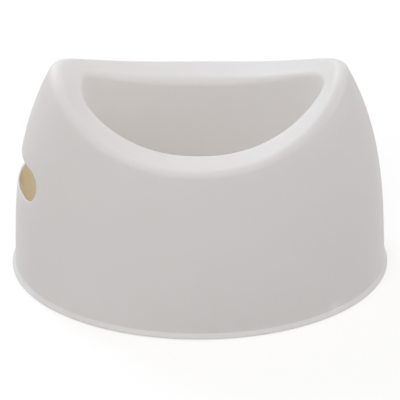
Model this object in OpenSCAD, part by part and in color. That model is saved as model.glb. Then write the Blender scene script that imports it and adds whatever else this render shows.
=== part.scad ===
// Potty training chair: a one-piece moulded potty on four push-in rubber feet.
// The skirt, the wide saddle-shaped rim and the bowl are one moulding, open underneath,
// with a carrying slot through the back wall.
// Frame: origin on the floor under the middle of the potty, +X to the front, +Z up.
// Angles go round the plan from +X. A section is drawn as [inset, height], where inset
// is how far a point lies inside the outline that the section starts from.

/* [Base] */
// Overall length over the base lip, back to front
base_length = 340; // [310:1:370]
// Overall width over the base lip
base_width = 282; // [262:1:310]
// How far the base lip stands out from the wall
lip_out = 2.8; // [1.8:0.1:4]
// Height of the lip's straight edge
lip_height = 2.2; // [1:0.1:5]
// Radius on the lip's upper edge
lip_round = 0.8; // [0.4:0.1:1.4]

/* [Wall] */
// Thickness of the moulding
wall = 2.2; // [1.8:0.1:3]
// How far the outer wall has come in at the back and front, at the height of the end rims
end_lean = 32.5; // [20:0.5:40]
// Power of the inward curve at the back and front, where 1 is a straight wall
end_bulge = 3.05; // [1.5:0.05:4]
// How far the outer wall has come in at the sides, at the height of the side rims
side_lean = 34.5; // [20:0.5:40]
// Power of the inward curve at the sides, where 1 is a straight wall
side_bulge = 1.55; // [1:0.05:3]

/* [Rim] */
// Height of the middle of the rim at the back and front
end_height = 198; // [180:1:220]
// Height of the middle of the rim at the sides, where the legs go
side_height = 152.5; // [135:0.5:165]
// Power of the saddle curve, where 2 is a plain cosine squared
saddle_power = 2.3; // [1.6:0.1:3.5]
// Power of the rim's change from its ends to its sides
rim_blend = 2.2; // [1.6:0.1:3]
// Radius of the rounding on the outer edge of the rim
outer_round = 8.5; // [5:0.1:11]
// Radius of the rounding on the inner edge of the rim
inner_round = 8.5; // [5:0.1:11]
// Width of the flat of the rim at the back and front
end_land = 10; // [6:0.5:20]
// Width of the flat of the rim at the sides
side_land = 22; // [16:0.5:26]
// Fall of the rim towards the bowl at the back and front, in degrees
end_fall = 26; // [10:1:32]
// Fall of the rim towards the bowl at the sides, in degrees
side_fall = 1; // [-5:1:10]

/* [Bowl] */
// Draft of the bowl's wall, in degrees
bowl_draft = 6; // [3:0.5:8]
// Height of the bowl's floor above the ground
bowl_floor = 28; // [20:1:45]
// Radius between the bowl's wall and its floor
bowl_round = 34; // [20:1:38]

/* [Carrying slot] */
// Width of the slot in the back wall
slot_width = 102; // [80:1:120]
// Height of the slot
slot_height = 31; // [22:1:34]
// Height of the slot's middle above the ground
slot_middle = 101.5; // [90:0.5:115]

/* [Feet] */
// Diameter of a foot's head
foot_head = 16; // [12:0.5:20]
// How far the feet stand out below the moulding
foot_proud = 1; // [0.6:0.1:2]
// Depth of the recess that holds a foot's head
foot_recess = 1.6; // [1:0.1:3]
// Diameter of a foot's stem
foot_stem = 6.8; // [5:0.1:8]
// Diameter of the barb that holds a foot in its boss
foot_barb = 9; // [8.6:0.1:11]
// Length of the barb
barb_length = 4.5; // [3:0.5:7]
// Clearance round a foot's stem and head, on the radius
foot_clearance = 0.08; // [0.05:0.01:0.1]
// Height of the boss that a foot pushes into
boss_height = 10; // [6:0.5:16]
// Wall of the boss round the foot's head
boss_wall = 2; // [1.4:0.1:3]
// Where the feet stand round the plan, in degrees from the lengthwise axis
foot_angle = 42; // [30:1:60]

/* [Hidden] */

$fn = 64;

// Steps round the plan, and along each stretch of the section
plan_steps = 72;
lip_steps = 3;
wall_steps = 8;
round_steps = 5;
bowl_steps = 3;

shell_colour = [0.90, 0.89, 0.88];
foot_colour = [0.62, 0.62, 0.61];

// How far a cut runs past the face it starts from
past = 1;
// How far a boss runs into the skirt beside it
boss_bite = 1.2;
// Chamfer on the lower edge of a foot
foot_chamfer = 0.6;
// Height of a barb's full width, and its tip's share of the stem's diameter
barb_shoulder = 0.8;
barb_tip = 0.75;

lip_hollow = lip_out - lip_round;
lip_top = foot_proud + lip_height + lip_round;
wall_start = lip_top + lip_hollow;
boss_radius = foot_head / 2 + foot_clearance + boss_wall;
foot_inset = lip_out + wall + boss_radius - boss_bite;

// Half the length and half the width of the outer wall at height z: each level is an ellipse
function wall_a(z) = base_length / 2 - lip_out - end_lean * pow(z / end_height, end_bulge);
function wall_b(z) = base_width / 2 - lip_out - side_lean * pow(z / side_height, side_bulge);

// How far the wall leans in from upright at angle t and height z
function slope_a(z) = end_lean * end_bulge / end_height * pow(z / end_height, end_bulge - 1);
function slope_b(z) = side_lean * side_bulge / side_height * pow(z / side_height, side_bulge - 1);
function lean(t, z) = atan(slope_b(z) + (slope_a(z) - slope_b(z)) * pow(cos(t), 2));

// Height, flat and fall of the rim at angle t
function blend(t, ends, sides, power) = sides + (ends - sides) * pow(abs(cos(t)), power);
function rim_height(t) = blend(t, end_height, side_height, saddle_power);
function land(t) = blend(t, end_land, side_land, rim_blend);
function fall(t) = blend(t, end_fall, side_fall, rim_blend);

// Outer rounding of the rim: the angle where it leaves the wall, its centre and that height
function outer_start(t) = 90 - lean(t, rim_height(t) - outer_round);
function outer_centre(t) = rim_height(t) + sin(fall(t)) * land(t) / 2 - outer_round * cos(fall(t));
function shoulder(t) = outer_centre(t) + outer_round * cos(outer_start(t));
function outer_inset(t) = outer_round * sin(outer_start(t));

// Inner rounding of the rim: its centre, where the flat of the rim ends
function inner_inset(t) = outer_inset(t) + (outer_round - inner_round) * sin(fall(t))
    + cos(fall(t)) * land(t);
function inner_centre(t) = outer_centre(t) + (outer_round - inner_round) * cos(fall(t))
    - sin(fall(t)) * land(t);

// Bowl: where its wall starts under the rim, and the centre of the rounding at its floor
function bowl_inset(t) = inner_inset(t) + inner_round * cos(bowl_draft);
function bowl_top(t) = inner_centre(t) + inner_round * sin(bowl_draft);
function bowl_foot() = bowl_floor + bowl_round * (1 - sin(bowl_draft));
function floor_inset(t) = bowl_inset(t) + (bowl_top(t) - bowl_foot()) * tan(bowl_draft)
    + bowl_round * cos(bowl_draft);

// Stretches of the section as [inset, height], skin deep inside the visible face
function outer_arc(t, skin) = [for (i = [0:round_steps])
    let (f = outer_start(t) - (outer_start(t) + fall(t)) * i / round_steps)
    [outer_inset(t) - (outer_round - skin) * sin(f), outer_centre(t) + (outer_round - skin) * cos(f)]];
function inner_arc(t, skin) = [for (i = [0:round_steps])
    let (f = fall(t) + (90 - bowl_draft - fall(t)) * i / round_steps)
    [inner_inset(t) + (inner_round - skin) * sin(f), inner_centre(t) + (inner_round - skin) * cos(f)]];
function bowl_wall(t, skin) = [for (i = [1:bowl_steps - 1])
    let (drop = (bowl_top(t) - bowl_foot()) * i / bowl_steps)
    [bowl_inset(t) + drop * tan(bowl_draft) - skin * cos(bowl_draft),
        bowl_top(t) - drop - skin * sin(bowl_draft)]];
function floor_arc(t, skin) = [for (i = [0:round_steps])
    let (f = bowl_draft + (90 - bowl_draft) * i / round_steps)
    [floor_inset(t) - (bowl_round + skin) * cos(f),
        bowl_floor + bowl_round - (bowl_round + skin) * sin(f)]];
function rim_and_bowl(t, skin) =
    concat(outer_arc(t, skin), inner_arc(t, skin), bowl_wall(t, skin), floor_arc(t, skin));

// The lip's section: a straight edge, a rounded top and a hollow up to the wall
function lip() = concat(
    [[0, foot_proud]],
    [for (i = [0:lip_steps])
        let (f = 90 * i / lip_steps)
        [lip_round * (1 - cos(f)), lip_top - lip_round * (1 - sin(f))]],
    [for (i = [1:lip_steps])
        let (f = 90 * i / lip_steps)
        [lip_round + lip_hollow * sin(f), lip_top + lip_hollow * (1 - cos(f))]]);

// A section's point p in space, inset from the base, or from the wall at the shoulder
function from_base(t, p) = [
    (base_length / 2 - p.x) * cos(t),
    (base_width / 2 - p.x) * sin(t),
    p.y];
function from_shoulder(t, p) = [
    (wall_a(shoulder(t)) - p.x) * cos(t),
    (wall_b(shoulder(t)) - p.x) * sin(t),
    p.y];
// A point of the wall at height z, skin deep inside its outer face
function on_wall(t, z, skin) = [
    (wall_a(z) - skin / cos(lean(t, z))) * cos(t),
    (wall_b(z) - skin / cos(lean(t, z))) * sin(t),
    z];

// The visible face at angle t, from the lip over the rim to the bowl's floor, and its back
function outside(t) = concat(
    [for (p = lip()) from_base(t, p)],
    [for (i = [1:wall_steps - 1])
        on_wall(t, wall_start + (shoulder(t) - wall_start) * i / wall_steps, 0)],
    [for (p = rim_and_bowl(t, 0)) from_shoulder(t, p)]);
function inside(t) = concat(
    [for (i = [0:wall_steps - 1])
        on_wall(t, foot_proud + (outer_arc(t, wall)[0].y - foot_proud) * i / wall_steps, wall)],
    [for (p = rim_and_bowl(t, wall)) from_shoulder(t, p)]);

// Sections turned into rings of points round the plan
function rings(sections) = [for (i = [0:len(sections[0]) - 1]) each [for (s = sections) s[i]]];

// Two triangles for each cell between the ring at a and the ring at b, facing out or in
function band(a, b, out) = [for (j = [0:plan_steps - 1])
    let (k = (j + 1) % plan_steps)
    each out
        ? [[a + j, b + j, a + k], [a + k, b + j, b + k]]
        : [[a + j, a + k, b + j], [a + k, b + k, b + j]]];
// Triangles from the ring at a to one point in its middle
function cap(a, middle, out) = [for (j = [0:plan_steps - 1])
    let (k = (j + 1) % plan_steps)
    out ? [a + j, middle, a + k] : [a + j, a + k, middle]];

// The whole moulding without its bosses and slot: one skin, closed at the lip and the bowl's floor
module moulding() {
    angles = [for (j = [0:plan_steps - 1]) 360 * j / plan_steps];
    outer = [for (t = angles) outside(t)];
    inner = [for (t = angles) inside(t)];
    under = len(outer[0]) * plan_steps;
    end = under + len(inner[0]) * plan_steps;
    points = concat(rings(outer), rings(inner), [[0, 0, bowl_floor], [0, 0, bowl_floor - wall]]);
    faces = concat(
        [for (a = [0:plan_steps:under - 2 * plan_steps]) each band(a, a + plan_steps, true)],
        [for (a = [under:plan_steps:end - 2 * plan_steps]) each band(a, a + plan_steps, false)],
        band(0, under, false),
        cap(under - plan_steps, end, true),
        cap(end - plan_steps, end + 1, false));
    polyhedron(points, faces);
}

// A slot with round ends, cut along X through the back wall and no deeper than the hollow
module carrying_slot() {
    sweep = sqrt(1 - pow(slot_width / 2 / wall_b(slot_middle), 2));
    from = -base_length / 2 - past;
    to = -wall_a(slot_middle) * sweep + 2 * wall + past;
    straight = slot_width - slot_height;
    translate([from, 0, slot_middle]) {
        translate([0, -straight / 2, -slot_height / 2]) cube([to - from, straight, slot_height]);
        for (side = [-1, 1])
            translate([0, side * straight / 2, 0])
                rotate([0, 90, 0])
                    cylinder(d = slot_height, h = to - from);
    }
}

// Where a foot stands: front is 1 or -1 for the back, left is 1 or -1 for the right
module at_foot(front, left) {
    translate([
        front * (base_length / 2 - foot_inset) * cos(foot_angle),
        left * (base_width / 2 - foot_inset) * sin(foot_angle),
        0])
        children();
}

module at_feet() {
    for (front = [-1, 1])
        for (left = [-1, 1])
            at_foot(front, left) children();
}

module potty_shell() {
    color(shell_colour)
        difference() {
            union() {
                moulding();
                at_feet() translate([0, 0, foot_proud]) cylinder(r = boss_radius, h = boss_height);
            }
            carrying_slot();
            at_feet() {
                translate([0, 0, foot_proud - past])
                    cylinder(r = foot_head / 2 + foot_clearance, h = foot_recess + past);
                cylinder(r = foot_stem / 2 + foot_clearance, h = foot_proud + boss_height + past);
            }
        }
}

// A rubber foot: a round head in the recess, a stem through the boss and a barb above it
module foot(front, left) {
    head_top = foot_proud + foot_recess;
    boss_top = foot_proud + boss_height;
    color(foot_colour)
        at_foot(front, left)
            rotate_extrude()
                polygon([
                    [0, 0],
                    [foot_head / 2 - foot_chamfer, 0],
                    [foot_head / 2, foot_chamfer],
                    [foot_head / 2, head_top],
                    [foot_stem / 2, head_top],
                    [foot_stem / 2, boss_top],
                    [foot_barb / 2, boss_top],
                    [foot_barb / 2, boss_top + barb_shoulder],
                    [foot_stem / 2 * barb_tip, boss_top + barb_length],
                    [0, boss_top + barb_length]]);
}

module foot_back_left() { foot(-1, 1); }
module foot_back_right() { foot(-1, -1); }
module foot_front_left() { foot(1, 1); }
module foot_front_right() { foot(1, -1); }

potty_shell();
foot_back_left();
foot_back_right();
foot_front_left();
foot_front_right();
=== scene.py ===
"""Potty training chair: a one-piece moulded potty on four push-in rubber feet, with its finishes.

The moulding and the feet are surfaces worked out on grids, from the same named sizes as the
part's source and finer than its solids. Sizes are in millimetres and angles in degrees; make()
turns them into metres. Heights are above the floor, and angles go round the plan from +X.
"""

import bpy
import numpy as np
from mathutils import Matrix, Vector


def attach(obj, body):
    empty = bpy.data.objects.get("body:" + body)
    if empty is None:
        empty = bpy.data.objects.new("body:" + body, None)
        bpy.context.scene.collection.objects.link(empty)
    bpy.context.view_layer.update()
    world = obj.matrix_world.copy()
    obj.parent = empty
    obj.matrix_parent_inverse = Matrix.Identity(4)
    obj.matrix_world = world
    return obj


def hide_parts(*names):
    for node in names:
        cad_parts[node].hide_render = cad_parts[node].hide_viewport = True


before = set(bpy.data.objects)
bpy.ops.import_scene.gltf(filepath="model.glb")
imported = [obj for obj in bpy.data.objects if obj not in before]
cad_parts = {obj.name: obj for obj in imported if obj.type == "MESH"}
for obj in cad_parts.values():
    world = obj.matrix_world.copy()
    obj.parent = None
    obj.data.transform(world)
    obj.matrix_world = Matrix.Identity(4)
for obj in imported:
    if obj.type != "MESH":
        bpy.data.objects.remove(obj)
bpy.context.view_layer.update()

MM = 0.001

# The moulding, as in the part's source
BASE_LENGTH, BASE_WIDTH = 340.0, 282.0
LIP_OUT, LIP_HEIGHT, LIP_ROUND = 2.8, 2.2, 0.8
WALL = 2.2
END_LEAN, END_BULGE = 32.5, 3.05
SIDE_LEAN, SIDE_BULGE = 34.5, 1.55
END_HEIGHT, SIDE_HEIGHT, SADDLE_POWER = 198.0, 152.5, 2.3
RIM_BLEND = 2.2
OUTER_ROUND, INNER_ROUND = 8.5, 8.5
END_LAND, SIDE_LAND = 10.0, 22.0
END_FALL, SIDE_FALL = 26.0, 1.0
BOWL_DRAFT, BOWL_FLOOR, BOWL_ROUND = 6.0, 28.0, 34.0
SLOT_WIDTH, SLOT_HEIGHT, SLOT_MIDDLE = 102.0, 31.0, 101.5

# The feet and their bosses, as in the part's source
FOOT_HEAD, FOOT_PROUD, FOOT_RECESS = 16.0, 1.0, 1.6
FOOT_STEM, FOOT_BARB, BARB_LENGTH = 6.8, 9.0, 4.5
BARB_SHOULDER, BARB_TIP = 0.8, 0.75
FOOT_CLEARANCE = 0.08
BOSS_HEIGHT, BOSS_WALL, BOSS_BITE = 10.0, 2.0, 1.2
FOOT_ANGLE = 42.0

# How far in the rounding at the lip's root has its centre, and the height at which the wall
# starts over it
LIP_ROOT = LIP_OUT - LIP_ROUND
WALL_START = FOOT_PROUD + LIP_HEIGHT + LIP_ROUND + LIP_ROOT
# A boss's outer radius, its middle's distance in from the base's edge, and its top
BOSS_RADIUS = FOOT_HEAD / 2 + FOOT_CLEARANCE + BOSS_WALL
FOOT_INSET = LIP_OUT + WALL + BOSS_RADIUS - BOSS_BITE
BOSS_TOP = FOOT_PROUD + BOSS_HEIGHT

# Small roundings that a moulding has along its edges: the skirt's foot and the slot's rim, then
# a boss's top, bore and seat. A boss ends a little above the skirt's foot
BASE_EDGE, SLOT_EDGE = 0.4, 0.4
BOSS_EDGE, BORE_EDGE, SEAT_EDGE = 0.6, 0.3, 0.1
BOSS_FOOT = FOOT_PROUD + 0.05
# The lip's face leans in by that much from upright, above a rounding
LIP_FACE, LIP_BROW = 35.7, 1.2
# The rubber's roundings: along the sole and the barb's tip, at the corners, at the neck under
# the barb, and along the rings in the sole
SOLE_EDGE, RUBBER_EDGE, NECK_EDGE, RING_EDGE = 0.6, 0.2, 0.1, 0.12
# The rings' inner radii, their depth, and each one's section as steps out and shares of depth
SOLE_RINGS, SOLE_DEPTH = (2.6, 4.9), 0.35
RING_SECTION = ((0.0, 0.0), (0.25, 1.0), (1.0, 1.0), (1.25, 0.0))
# Edges of the moulding that turn by more than this stay crisp
CRISP_TURN = 50.0

# The mouth's edge moves beyond the part's source, inwards and down: by so much at its back end
# and at its front end, fading out round the plan with that power of the cosine
MOUTH_IN, MOUTH_DOWN = (5.3, -2.0, 13.0), (6.4, 3.4, 9.0)

# Grid steps round the plan and round a foot, and up the wall
PLAN_STEPS, TURN_STEPS, WALL_STEPS = 240, 64, 60
# Steps in each of the rim's roundings, over its flat, down the bowl and in to its floor
HIDDEN_STEPS, SHOWN_STEPS = (10, 4, 20, 14), (14, 6, 24, 18)
# Steps in the rounding at the skirt's foot, in the lip's roundings and over its face
BASE_STEPS, LIP_STEPS, LIP_FACE_STEPS = 4, 6, 3
# Steps from the window to the slot's edge, in that edge's rounding and through the wall
SLOT_FACE_STEPS, SLOT_EDGE_STEPS, SLOT_WALL_STEPS = 6, 5, 2
# Steps in a rounded corner of a turned outline
CORNER_STEPS = 4
# Rounds in which a point on the slanting back wall settles
SETTLING_ROUNDS = 6
# The slot's window in the wall's grid: its columns, either side of the back, and its rows
SLOT_COLUMNS = (PLAN_STEPS // 2 - 20, PLAN_STEPS // 2 + 20)
SLOT_ROWS = (22, 38)
# Material slots of the moulding: the hidden faces inside the skirt take the inside's tan, which
# is painted light
SHOWN_FACE, HIDDEN_FACE = 0, 1

# Which way each foot stands from the middle: front or back, left or right
FEET = {"foot_back_left": (-1, 1), "foot_back_right": (-1, -1),
        "foot_front_left": (1, 1), "foot_front_right": (1, -1)}

# The camera: turned and tipped from square to the potty's side, and rolled; its distance, the
# width that it takes in and its sensor's; and the point at its middle, as a height, a step
# aside and a step up
VIEW_TURN, VIEW_DOWN, VIEW_ROLL = -0.525, 30.0, 0.313
VIEW_DISTANCE, VIEW_WIDTH, SENSOR_WIDTH = 16000.0, 362.25, 36.0
VIEW_HEIGHT, VIEW_ASIDE, VIEW_RISE = 81.0, 0.449, -14.116

# The room: its tint and strength, then the lamps, square and soft, with their size and aim in
# metres, and each one's place, power and tint
ROOM_TINT, ROOM_STRENGTH = "#FFFBF9", 0.66
LAMP_SIZE, LAMP_AIM = 1.2, (0, 0, 0.1)
LAMPS = {"window": ((-1.2, 1.9, 1.7), 23.5, "#F0F6FF"),
         "fill": ((-0.6, -1.7, 1.8), 12.5, "#FAFCFF"),
         "side_fill": ((2.2, 0.0, 1.4), 7.0, "#FAFCFF")}
# The floor: half its side in metres, how strongly what the camera sees of it is lifted towards
# white, and the share of the base's outline within which it shows a painted tan glow
FLOOR_HALF, FLOOR_LIFT, PAINTED_GLOW_REACH = 6.0, 0.66, 0.98


def sin(angle):
    return np.sin(np.radians(angle))


def cos(angle):
    return np.cos(np.radians(angle))


# ---- The moulding's section, at angles t round the plan ----

def wall_a(z):
    """Half length of the wall's ellipse at height z: the base's less the lip and a power of z."""
    return BASE_LENGTH / 2 - LIP_OUT - END_LEAN * (z / END_HEIGHT) ** END_BULGE


def wall_b(z):
    """Half width of the wall's ellipse at height z: the base's less the lip and a power of z."""
    return BASE_WIDTH / 2 - LIP_OUT - SIDE_LEAN * (z / SIDE_HEIGHT) ** SIDE_BULGE


def lean(t, z):
    """Lean of the wall from upright: the two half axes' slopes, mixed by the cosine squared."""
    slope_a = END_LEAN * END_BULGE / END_HEIGHT * (z / END_HEIGHT) ** (END_BULGE - 1)
    slope_b = SIDE_LEAN * SIDE_BULGE / SIDE_HEIGHT * (z / SIDE_HEIGHT) ** (SIDE_BULGE - 1)
    return np.degrees(np.arctan(slope_b + (slope_a - slope_b) * cos(t) ** 2))


def blend(t, ends, sides, power):
    """The sides' value, changing to the ends' by a power of the cosine."""
    return sides + (ends - sides) * np.abs(cos(t)) ** power


def oval(t, half_length, half_width, z):
    """Points on an ellipse about the upright axis: cosine along X, sine along Y."""
    x = half_length * cos(t)
    return np.stack([x, half_width * sin(t), z + 0 * x], -1)


def on_wall(t, z, skin):
    """Points of the wall at height z, skin deep square to its outer face."""
    depth = skin / cos(lean(t, z))
    return oval(t, wall_a(z) - depth, wall_b(z) - depth, z)


def arc(inset, height, radius, start, stop, steps):
    """Rows along an arc of the section: the centre, less the radius times the sine of the angle
    in the inset, plus the radius times its cosine in the height. 0 is up and 90 is outwards."""
    f = start + (stop - start) * np.linspace(0, 1, steps + 1)[:, None]
    return np.stack(np.broadcast_arrays(inset - radius * sin(f), height + radius * cos(f)), -1)


def line(start, stop, steps):
    """Rows along a straight stretch between two rows, without the two rows themselves."""
    u = np.linspace(0, 1, steps + 1)[1:-1, None, None]
    return start + (stop - start) * u


def moved(t, back, front, power):
    """How far the mouth's edge moves: the value of the end that it is nearer to, fading with a
    power of the cosine."""
    return np.where(cos(t) < 0, back, front) * np.abs(cos(t)) ** power


class Rim:
    """The rim and bowl at angles t: where each rounding of the section has its centre."""

    def __init__(self, t):
        self.t = t
        height = blend(t, END_HEIGHT, SIDE_HEIGHT, SADDLE_POWER)
        land = blend(t, END_LAND, SIDE_LAND, RIM_BLEND)
        fall = blend(t, END_FALL, SIDE_FALL, RIM_BLEND)
        self.start = 90 - lean(t, height - OUTER_ROUND)
        self.outer_z = height + sin(fall) * land / 2 - OUTER_ROUND * cos(fall)
        self.shoulder = self.outer_z + OUTER_ROUND * cos(self.start)
        self.outer_in = OUTER_ROUND * sin(self.start)
        # The flat runs from the outer rounding to where the mouth's edge has moved
        across = cos(fall) * land + moved(t, *MOUTH_IN)
        down = sin(fall) * land + moved(t, *MOUTH_DOWN)
        self.fall, land = np.degrees(np.arctan2(down, across)), np.hypot(across, down)
        self.inner_in = (self.outer_in + (OUTER_ROUND - INNER_ROUND) * sin(self.fall)
                         + cos(self.fall) * land)
        self.inner_z = (self.outer_z + (OUTER_ROUND - INNER_ROUND) * cos(self.fall)
                        - sin(self.fall) * land)
        bowl_in = self.inner_in + INNER_ROUND * cos(BOWL_DRAFT)
        bowl_z = self.inner_z + INNER_ROUND * sin(BOWL_DRAFT)
        foot_z = BOWL_FLOOR + BOWL_ROUND * (1 - sin(BOWL_DRAFT))
        self.floor_in = (bowl_in + (bowl_z - foot_z) * np.tan(np.radians(BOWL_DRAFT))
                         + BOWL_ROUND * cos(BOWL_DRAFT))

    def rows(self, skin, round_steps, land_steps, bowl_steps, floor_steps):
        """Rows over the rim and down to the bowl's floor, skin deep inside the visible face:
        an arc, the flat, an arc, the drafted wall and the arc at the floor."""
        outer = arc(self.outer_in, self.outer_z, OUTER_ROUND - skin, self.start, -self.fall,
                    round_steps)
        inner = arc(self.inner_in, self.inner_z, INNER_ROUND - skin, -self.fall,
                    BOWL_DRAFT - 90, round_steps)
        floor = arc(self.floor_in, BOWL_FLOOR + BOWL_ROUND, BOWL_ROUND + skin,
                    90 + BOWL_DRAFT, 180, floor_steps)
        section = np.concatenate([outer, line(outer[-1], inner[0], land_steps), inner,
                                  line(inner[-1], floor[0], bowl_steps), floor])
        inset, z = section[..., 0], section[..., 1]
        return oval(self.t, wall_a(self.shoulder) - inset, wall_b(self.shoulder) - inset, z)


# ---- Grids to meshes ----

class Surface:
    """The points and faces of one piece, gathered from grids."""

    def __init__(self):
        self.points, self.faces, self.finishes, self.count = [], [], [], 0

    def add(self, points):
        """Keeps a grid's points and returns their numbers, in the grid's own shape."""
        numbers = self.count + np.arange(points[..., 0].size).reshape(points.shape[:-1])
        self.points.append(points.reshape(-1, 3))
        self.count += numbers.size
        return numbers

    def cover(self, faces, finish):
        """Keeps faces, given as the numbers of their points, with one finish."""
        self.faces += faces.reshape(-1, faces.shape[-1]).tolist()
        self.finishes.append(np.full(faces[..., 0].size, finish))

    def skin(self, rows, keep=None, finish=0):
        """A face for each cell between two rows, a row running round to its own start. Seen from
        outside, a row runs to the right and the next one is above it. keep picks the cells."""
        turn = np.roll(rows, -1, axis=1)
        cells = np.stack([rows[:-1], turn[:-1], turn[1:], rows[1:]], -1)
        self.cover(cells if keep is None else cells[keep], finish)

    def cap(self, row, point, finish=0):
        """Three-sided faces from a row up to one point: a pole."""
        pole = np.full_like(row, self.add(np.array([point], float))[0])
        self.cover(np.stack([row, np.roll(row, -1), pole], -1), finish)

    def make(self, name, *materials):
        """The piece as a smooth mesh in metres: its place is in its points, and its object is
        at the origin."""
        mesh = bpy.data.meshes.new(name)
        mesh.from_pydata(np.concatenate(self.points) * MM, [], self.faces)
        for material in materials:
            mesh.materials.append(material)
        finishes = np.concatenate(self.finishes).astype(np.int32)
        mesh.polygons.foreach_set("material_index", finishes)
        mesh.polygons.foreach_set("use_smooth", np.ones(len(self.faces), bool))
        mesh.update()
        piece = bpy.data.objects.new(name, mesh)
        bpy.context.scene.collection.objects.link(piece)
        return piece


def rounded(corners):
    """A closed outline through corners given as radius, height and rounding. Each corner becomes
    a parabola, from one rounding's length before it to one after it, that meets both sides."""
    corners = np.array(corners, float)
    place, size = corners[:, :2], corners[:, 2:]
    before = np.roll(place, 1, axis=0) - place
    after = np.roll(place, -1, axis=0) - place
    start = place + before / np.linalg.norm(before, axis=1)[:, None] * size
    stop = place + after / np.linalg.norm(after, axis=1)[:, None] * size
    u = np.linspace(0, 1, CORNER_STEPS + 1)[:, None, None]
    curve = (1 - u) ** 2 * start + 2 * u * (1 - u) * place + u ** 2 * stop
    return curve.transpose(1, 0, 2).reshape(-1, 2)


def turned(outline, front, left):
    """Rows of a surface turned about the upright axis of the foot that stands on that side: an
    outline's radius carried round in a circle at its height."""
    t = np.arange(TURN_STEPS) * 360 / TURN_STEPS
    radius, z = outline[:, 0, None], outline[:, 1, None]
    x = front * (BASE_LENGTH / 2 - FOOT_INSET) * cos(FOOT_ANGLE)
    y = left * (BASE_WIDTH / 2 - FOOT_INSET) * sin(FOOT_ANGLE)
    return oval(t, radius, radius, z) + np.array([x, y, 0.0])


# ---- The moulding ----

def back_wall(y, z, skin):
    """Points of the back wall at y and z, skin deep: at the angle whose sine times the half
    width there is y, found by repeating because the wall's slant depends on it."""
    t = np.zeros_like(y)
    for _ in range(SETTLING_ROUNDS):
        depth = skin / cos(lean(t, z))
        t = np.degrees(np.arcsin(y / (wall_b(z) - depth)))
    return np.stack([-(wall_a(z) - skin / cos(lean(t, z))) * cos(t), y, z], -1)


def window(rows):
    """The points of a wall's grid round the slot's window: along its top towards +Y, down,
    back along its foot, and up."""
    low, high = SLOT_ROWS
    left, right = SLOT_COLUMNS
    return np.concatenate([rows[high, right:left:-1], rows[high:low:-1, left],
                           rows[low, left:right], rows[low:high, right]])


def slot_rings(outer, inner):
    """Rings from the window in the wall's outer face, over the slot's rounded edges and through
    the wall, to the window in its inner face. A point goes to the nearest one of the slot's
    outline, which lies half its height away from a straight line along its middle."""
    half = (SLOT_WIDTH - SLOT_HEIGHT) / 2
    middle = np.stack([np.clip(outer[:, 1], -half, half), 0 * outer[:, 1] + SLOT_MIDDLE], -1)
    away = outer[:, 1:] - middle
    away /= np.linalg.norm(away, axis=1)[:, None]
    edge = middle + away * SLOT_HEIGHT / 2
    u = np.linspace(0, 1, SLOT_FACE_STEPS + 1)[1:-1, None, None]
    f = np.linspace(0, 90, SLOT_EDGE_STEPS + 1)[:, None, None]

    def face(loop, skin):
        """Rings across a face of the wall, in a straight line from the window to the edge."""
        place = loop[:, 1:] + (edge + away * SLOT_EDGE - loop[:, 1:]) * u
        return back_wall(place[..., 0], place[..., 1], skin)

    def brink(skin, inwards):
        """Rings over a rounded edge: a quarter circle from the face into the slot."""
        place = edge + away * SLOT_EDGE * (1 - sin(f))
        points = back_wall(place[..., 0], place[..., 1], skin)
        points[..., 0] += inwards * SLOT_EDGE * (1 - cos(f[..., 0]))
        return points

    near, far = brink(0, 1), brink(WALL, -1)
    return np.concatenate([face(outer, 0), near, line(near[-1], far[-1], SLOT_WALL_STEPS),
                           far[::-1], face(inner, WALL)[::-1]])


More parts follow.
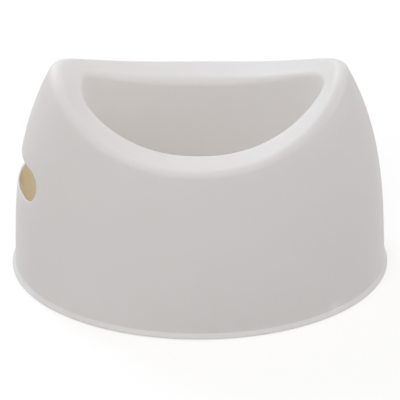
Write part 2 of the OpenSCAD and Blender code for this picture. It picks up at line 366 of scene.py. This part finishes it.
def moulding(*materials):
    """The skirt, lip, rim and bowl as one closed skin with the slot through its back wall. Its
    rows run from the middle of the bowl's underside out and down inside the skirt, round the
    lip, up the wall and over the rim to the bowl's floor."""
    t = np.arange(PLAN_STEPS) * 360 / PLAN_STEPS
    rim = Rim(t)
    u = np.linspace(0, 1, WALL_STEPS + 1)[1:-1, None]
    f = np.linspace(0, 90, BASE_STEPS + 1)[:, None]

    under = rim.rows(WALL, *HIDDEN_STEPS)
    foot = on_wall(t, FOOT_PROUD + BASE_EDGE * (1 - cos(f)), WALL - BASE_EDGE * (1 - sin(f)))
    inside = on_wall(t, WALL_START + (under[0, :, 2] - WALL_START) * u, WALL)

    # The lip: a rounding at its foot, its brow, its leaning face and its root in the wall. The
    # brow is moved up or down until the face between the two leans by its angle
    base = arc(BASE_EDGE, FOOT_PROUD + BASE_EDGE, BASE_EDGE, 180, 90, BASE_STEPS)
    root = arc(LIP_ROOT, WALL_START, LIP_ROUND, 270 - LIP_FACE, 270, LIP_STEPS)
    brow = arc(LIP_BROW, 0, LIP_BROW, 90, 90 - LIP_FACE, LIP_STEPS)
    face = (root[0, 0, 0] - brow[-1, 0, 0]) / np.tan(np.radians(LIP_FACE))
    brow[..., 1] += root[0, 0, 1] - face - brow[-1, 0, 1]
    section = np.concatenate([base, brow, line(brow[-1], root[0], LIP_FACE_STEPS), root])
    inset, z = section[..., 0], section[..., 1]
    lip = oval(t, BASE_LENGTH / 2 - inset, BASE_WIDTH / 2 - inset, z)

    outside = on_wall(t, WALL_START + (rim.shoulder - WALL_START) * u, 0)
    over = rim.rows(0, *SHOWN_STEPS)

    piece = Surface()
    hidden = np.concatenate([under[::-1], inside[::-1], foot[::-1]])
    shown = np.concatenate([lip, outside, over])
    rows = piece.add(np.concatenate([hidden, shown]))
    inner_wall = rows[len(under):len(under) + len(inside)][::-1]
    outer_wall = rows[len(hidden) + len(lip):][:len(outside)]

    # The slot's window is left out of both walls and filled by the slot's own rings
    keep = np.ones((len(rows) - 1, PLAN_STEPS), bool)
    low, high = SLOT_ROWS
    for first in (len(under) + len(inside) - 1 - high, len(hidden) + len(lip) + low):
        keep[first:first + high - low, slice(*SLOT_COLUMNS)] = False
    back = np.arange(len(rows) - 1) < len(hidden) - 1
    piece.skin(rows[:len(hidden)], keep[back], HIDDEN_FACE)
    piece.skin(rows[len(hidden) - 1:], keep[~back], SHOWN_FACE)
    piece.cap(rows[0][::-1], [0, 0, BOWL_FLOOR - WALL], HIDDEN_FACE)
    piece.cap(rows[-1], [0, 0, BOWL_FLOOR], SHOWN_FACE)

    points = np.concatenate(piece.points)
    outer_loop, inner_loop = window(outer_wall), window(inner_wall)
    rings = piece.add(slot_rings(points[outer_loop], points[inner_loop]))
    piece.skin(np.concatenate([outer_loop[None], rings[:1 - SLOT_FACE_STEPS]]), None, SHOWN_FACE)
    piece.skin(np.concatenate([rings[-SLOT_FACE_STEPS:], inner_loop[None]]), None, HIDDEN_FACE)

    return piece.make("moulding", *materials)


def bosses(*materials):
    """The four collars that hold the feet: an outline turned about each foot's upright axis."""
    bore, seat = FOOT_STEM / 2 + FOOT_CLEARANCE, FOOT_HEAD / 2 + FOOT_CLEARANCE
    outline = rounded([
        (BOSS_RADIUS, BOSS_FOOT, BASE_EDGE),
        (BOSS_RADIUS, BOSS_TOP, BOSS_EDGE),
        (bore, BOSS_TOP, BORE_EDGE),
        (bore, FOOT_PROUD + FOOT_RECESS, SEAT_EDGE),
        (seat, FOOT_PROUD + FOOT_RECESS, SEAT_EDGE),
        (seat, BOSS_FOOT, BASE_EDGE)])
    piece = Surface()
    for front, left in FEET.values():
        boss = piece.add(turned(outline, front, left))
        piece.skin(np.concatenate([boss, boss[:1]]), None, HIDDEN_FACE)
    return piece.make("bosses", *materials)


def melted(piece, other):
    """One skin round all that two closed pieces of the same moulding enclose. It takes the place
    of the first, and the second goes."""
    union = piece.modifiers.new("union", "BOOLEAN")
    union.operation, union.solver, union.object = "UNION", "EXACT", other
    made = piece.evaluated_get(bpy.context.evaluated_depsgraph_get())
    piece.data = bpy.data.meshes.new_from_object(made)
    piece.modifiers.clear()
    piece.data.set_sharp_from_angle(angle=np.radians(CRISP_TURN))
    bpy.data.objects.remove(other)
    return piece


def foot(name, front, left, *materials):
    """One push-in foot: an outline turned about an upright axis, from the middle of its ringed
    sole out round its head, up its stem and over its barb."""
    head, stem, barb = FOOT_HEAD / 2, FOOT_STEM / 2, FOOT_BARB / 2
    head_top, tip = FOOT_PROUD + FOOT_RECESS, BOSS_TOP + BARB_LENGTH
    rings = [(radius + step, share * SOLE_DEPTH, RING_EDGE)
             for radius in SOLE_RINGS for step, share in RING_SECTION]
    outline = rounded([(0, 0, 0)] + rings + [
        (head, 0, SOLE_EDGE),
        (head, head_top, RUBBER_EDGE),
        (stem, head_top, RUBBER_EDGE),
        (stem, BOSS_TOP, NECK_EDGE),
        (barb, BOSS_TOP, RUBBER_EDGE),
        (barb, BOSS_TOP + BARB_SHOULDER, RUBBER_EDGE),
        (stem * BARB_TIP, tip, SOLE_EDGE),
        (0, tip, 0)])
    # The poles close its two ends, on the axis
    outline = outline[CORNER_STEPS + 1:-CORNER_STEPS - 1]
    piece = Surface()
    rows = piece.add(turned(outline, front, left))
    x, y = turned(np.zeros((1, 2)), front, left)[0, 0, :2]
    piece.skin(rows)
    piece.cap(rows[0][::-1], [x, y, 0])
    piece.cap(rows[-1], [x, y, tip])
    return piece.make(name, *materials)


# ---- Finishes ----

def colour(code):
    """A hex sRGB colour as linear light: a channel's 12.92nd part up to 0.04045, and above that
    the 2.4th power of its sum with 0.055, over 1.055."""
    channel = np.array([int(code[i:i + 2], 16) for i in (1, 3, 5)]) / 255
    light = np.where(channel <= 0.04045, channel / 12.92, ((channel + 0.055) / 1.055) ** 2.4)
    return (*light.tolist(), 1.0)


def add(tree, kind, inputs=(), **settings):
    """Adds a node with its settings, and gives each input its value or the output it links to."""
    made = tree.nodes.new(kind)
    for name, value in settings.items():
        setattr(made, name, value)
    for name, value in dict(inputs).items():
        if isinstance(value, bpy.types.NodeSocket):
            tree.links.new(value, made.inputs[name])
        else:
            made.inputs[name].default_value = value
    return made


def seen(tree):
    """1 for rays from the camera, and for those that it sees by a reflection or through glass."""
    rays = add(tree, "ShaderNodeLightPath").outputs
    mirrored = add(tree, "ShaderNodeMath", {0: rays["Is Camera Ray"], 1: rays["Is Glossy Ray"]},
                   operation="MAXIMUM")
    through = add(tree, "ShaderNodeMath", {0: mirrored.outputs[0],
                                           1: rays["Is Transmission Ray"]},
                  operation="MAXIMUM")
    return through.outputs[0]


def pattern_scale(size):
    """The scale of a pattern whose features are that many millimetres across."""
    return 1 / (size * MM)


def finish(name):
    """An empty node material, and its tree."""
    material = bpy.data.materials.new(name)
    material.use_nodes = True
    material.node_tree.nodes.clear()
    return material, material.node_tree


def polypropylene(name, tones, depth, reach):
    """Polypropylene, injection moulded against a fine-blasted tool: a smooth satin surface on a
    milky skin. Light sinks in for depth millimetres, times the reach of its red, green and blue,
    and some of it goes right through: the bowl is softly lit, and the hollow inside the skirt
    glows tan through the carrying slot, partly by that light and partly by painted light, where
    the tones given for the inside are tan."""
    material, tree = finish(name)
    place = add(tree, "ShaderNodeTexCoord").outputs["Object"]
    # The melt's flow leaves clouds about 60 mm across, a shade apart
    clouds = add(tree, "ShaderNodeTexNoise", {"Vector": place, "Scale": pattern_scale(60),
                                              "Detail": 2.0, "Roughness": 0.4})
    tone = add(tree, "ShaderNodeMix", {0: clouds.outputs["Fac"], 6: colour(tones[0]),
                                       7: colour(tones[1])}, data_type="RGBA")
    # The tool's grain is about 0.1 mm across; it is drawn at 0.7 mm to show at all
    grain = add(tree, "ShaderNodeTexNoise", {"Vector": place, "Scale": pattern_scale(0.7),
                                             "Detail": 3.0, "Roughness": 0.6})
    gloss = add(tree, "ShaderNodeMapRange", {"Value": grain.outputs["Fac"], "To Min": 0.46,
                                             "To Max": 0.56})
    bump = add(tree, "ShaderNodeBump", {"Height": grain.outputs["Fac"], "Strength": 0.12,
                                        "Distance": 0.05 * MM})
    shader = add(tree, "ShaderNodeBsdfPrincipled", {
        "Base Color": tone.outputs[2], "Roughness": gloss.outputs[0],
        "Normal": bump.outputs["Normal"], "IOR": 1.49, "Specular IOR Level": 0.5,
        "Subsurface Weight": 1.0, "Subsurface Radius": reach,
        "Subsurface Scale": depth * MM})
    add(tree, "ShaderNodeOutputMaterial", {"Surface": shader.outputs[0]})
    return material


def rubber(name):
    """Thermoplastic rubber, moulded: soft matt grey with a dusty bloom."""
    material, tree = finish(name)
    place = add(tree, "ShaderNodeTexCoord").outputs["Object"]
    # The bloom lies in patches about 4 mm across
    bloom = add(tree, "ShaderNodeTexNoise", {"Vector": place, "Scale": pattern_scale(4),
                                             "Detail": 4.0})
    tone = add(tree, "ShaderNodeMix", {0: bloom.outputs["Fac"], 6: colour("#A8A7A4"),
                                       7: colour("#B4B3B0")}, data_type="RGBA")
    # The mould's grain is about 0.3 mm across
    grain = add(tree, "ShaderNodeTexNoise", {"Vector": place, "Scale": pattern_scale(0.3),
                                             "Detail": 2.0})
    bump = add(tree, "ShaderNodeBump", {"Height": grain.outputs["Fac"], "Strength": 0.3,
                                        "Distance": 0.05 * MM})
    shader = add(tree, "ShaderNodeBsdfPrincipled", {
        "Base Color": tone.outputs[2], "Roughness": 0.8, "IOR": 1.52,
        "Normal": bump.outputs["Normal"]})
    add(tree, "ShaderNodeOutputMaterial", {"Surface": shader.outputs[0]})
    return material


white_pp = polypropylene("polypropylene_moulded", ("#F8F4F0", "#FAF7F4"), 8, (1, 1, 1))
# The skirt's inside is lit only through the skin, and what comes through is warmer. Its tan tones
# are painted light: they stand in for that warm glow on a plastic that is white
inside_painted_glow_pp = polypropylene("polypropylene_inside_painted_glow", ("#FCBD80", "#FEC388"), 28,
                         (1, 0.87, 0.82))
grey_rubber = rubber("thermoplastic_rubber_moulded")

body = melted(moulding(white_pp, inside_painted_glow_pp), bosses(white_pp, inside_painted_glow_pp))
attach(body, "root")
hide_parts("potty_shell")
for name, (front, left) in FEET.items():
    piece = foot(name.replace("foot", "rubber_foot"), front, left, grey_rubber)
    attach(piece, "root")
    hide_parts(name)


# ---- Floor, light and camera ----

def studio_floor():
    """A matt pale floor: what the camera sees of it is lifted to white, and keeps its shadow.
    Under the potty it paints a glow, an emission for what the camera sees that stands in for
    the tan light that the skin lets through: there X and Y, over the base's half length and half
    width, make a length of PAINTED_GLOW_REACH at most."""
    material, tree = finish("matt_studio_board")
    plain = add(tree, "ShaderNodeBsdfDiffuse", {"Color": colour("#D8D7D6")})
    faint = add(tree, "ShaderNodeBsdfDiffuse", {"Color": colour("#A3A3A3")})
    place = add(tree, "ShaderNodeTexCoord").outputs["Object"]
    spread = add(tree, "ShaderNodeVectorMath", {
        0: place, 1: (2 / (BASE_LENGTH * MM), 2 / (BASE_WIDTH * MM), 0)}, operation="MULTIPLY")
    reach = add(tree, "ShaderNodeVectorMath", {0: spread.outputs["Vector"]}, operation="LENGTH")
    outside = add(tree, "ShaderNodeMath", {0: reach.outputs["Value"], 1: PAINTED_GLOW_REACH},
                  operation="GREATER_THAN")
    lift = add(tree, "ShaderNodeEmission", {"Color": (1, 1, 1, 1), "Strength": FLOOR_LIFT})
    both = add(tree, "ShaderNodeAddShader", {0: faint.outputs[0], 1: lift.outputs[0]})
    # Painted light: a tan emission on the floor under the potty, standing in for the light that
    # comes through the skin
    painted_glow = add(tree, "ShaderNodeEmission", {"Color": colour("#B09A7A"), "Strength": 1.0})
    shown = add(tree, "ShaderNodeMixShader", {0: outside.outputs[0], 1: painted_glow.outputs[0],
                                              2: both.outputs[0]})
    mixed = add(tree, "ShaderNodeMixShader", {0: seen(tree), 1: plain.outputs[0],
                                              2: shown.outputs[0]})
    add(tree, "ShaderNodeOutputMaterial", {"Surface": mixed.outputs[0]})
    mesh = bpy.data.meshes.new("floor")
    corners = [(x * FLOOR_HALF, y * FLOOR_HALF, 0)
               for x, y in ((-1, -1), (1, -1), (1, 1), (-1, 1))]
    mesh.from_pydata(corners, [], [(0, 1, 2, 3)])
    mesh.materials.append(material)
    floor = bpy.data.objects.new("floor", mesh)
    bpy.context.scene.collection.objects.link(floor)


def lamp(name, place, power, tint):
    """A square soft lamp, aimed at the potty."""
    light = bpy.data.lights.new(name, "AREA")
    light.shape, light.size, light.energy = "SQUARE", LAMP_SIZE, power
    light.color = colour(tint)[:3]
    placed = bpy.data.objects.new(name, light)
    placed.location = place
    aim = Vector(LAMP_AIM) - placed.location
    placed.rotation_euler = aim.to_track_quat("-Z", "Y").to_euler()
    bpy.context.scene.collection.objects.link(placed)


def studio_world():
    """An even pale room. What the camera sees of it is white."""
    world = bpy.data.worlds.new("studio")
    world.use_nodes = True
    tree = world.node_tree
    tree.nodes.clear()
    room = add(tree, "ShaderNodeBackground", {"Color": colour(ROOM_TINT),
                                              "Strength": ROOM_STRENGTH})
    white = add(tree, "ShaderNodeBackground", {"Color": (1, 1, 1, 1), "Strength": 1.0})
    mixed = add(tree, "ShaderNodeMixShader", {0: seen(tree), 1: room.outputs[0],
                                              2: white.outputs[0]})
    add(tree, "ShaderNodeOutputWorld", {"Surface": mixed.outputs[0]})
    bpy.context.scene.world = world


def camera():
    """A long lens a good way off, looking down on the potty's side, and turned a little."""
    direction = Vector((sin(VIEW_TURN) * cos(VIEW_DOWN), cos(VIEW_TURN) * cos(VIEW_DOWN),
                        -sin(VIEW_DOWN)))
    right = Vector((cos(VIEW_TURN), -sin(VIEW_TURN), 0))
    up = right.cross(direction)
    side = right * cos(VIEW_ROLL) - up * sin(VIEW_ROLL)
    top = right * sin(VIEW_ROLL) + up * cos(VIEW_ROLL)
    aim = Vector((0, 0, VIEW_HEIGHT)) * MM + (side * VIEW_ASIDE + top * VIEW_RISE) * MM
    made = bpy.data.cameras.new("camera")
    made.sensor_width = SENSOR_WIDTH
    made.lens = SENSOR_WIDTH * VIEW_DISTANCE / VIEW_WIDTH
    placed = bpy.data.objects.new("camera", made)
    turn = Matrix((side, top, -direction)).transposed()
    placed.matrix_world = Matrix.LocRotScale(aim - direction * VIEW_DISTANCE * MM, turn, None)
    bpy.context.scene.collection.objects.link(placed)
    bpy.context.scene.camera = placed


studio_floor()
studio_world()
for name, (place, power, tint) in LAMPS.items():
    lamp(name, place, power, tint)
camera()

bpy.context.scene.view_settings.view_transform = "Standard"
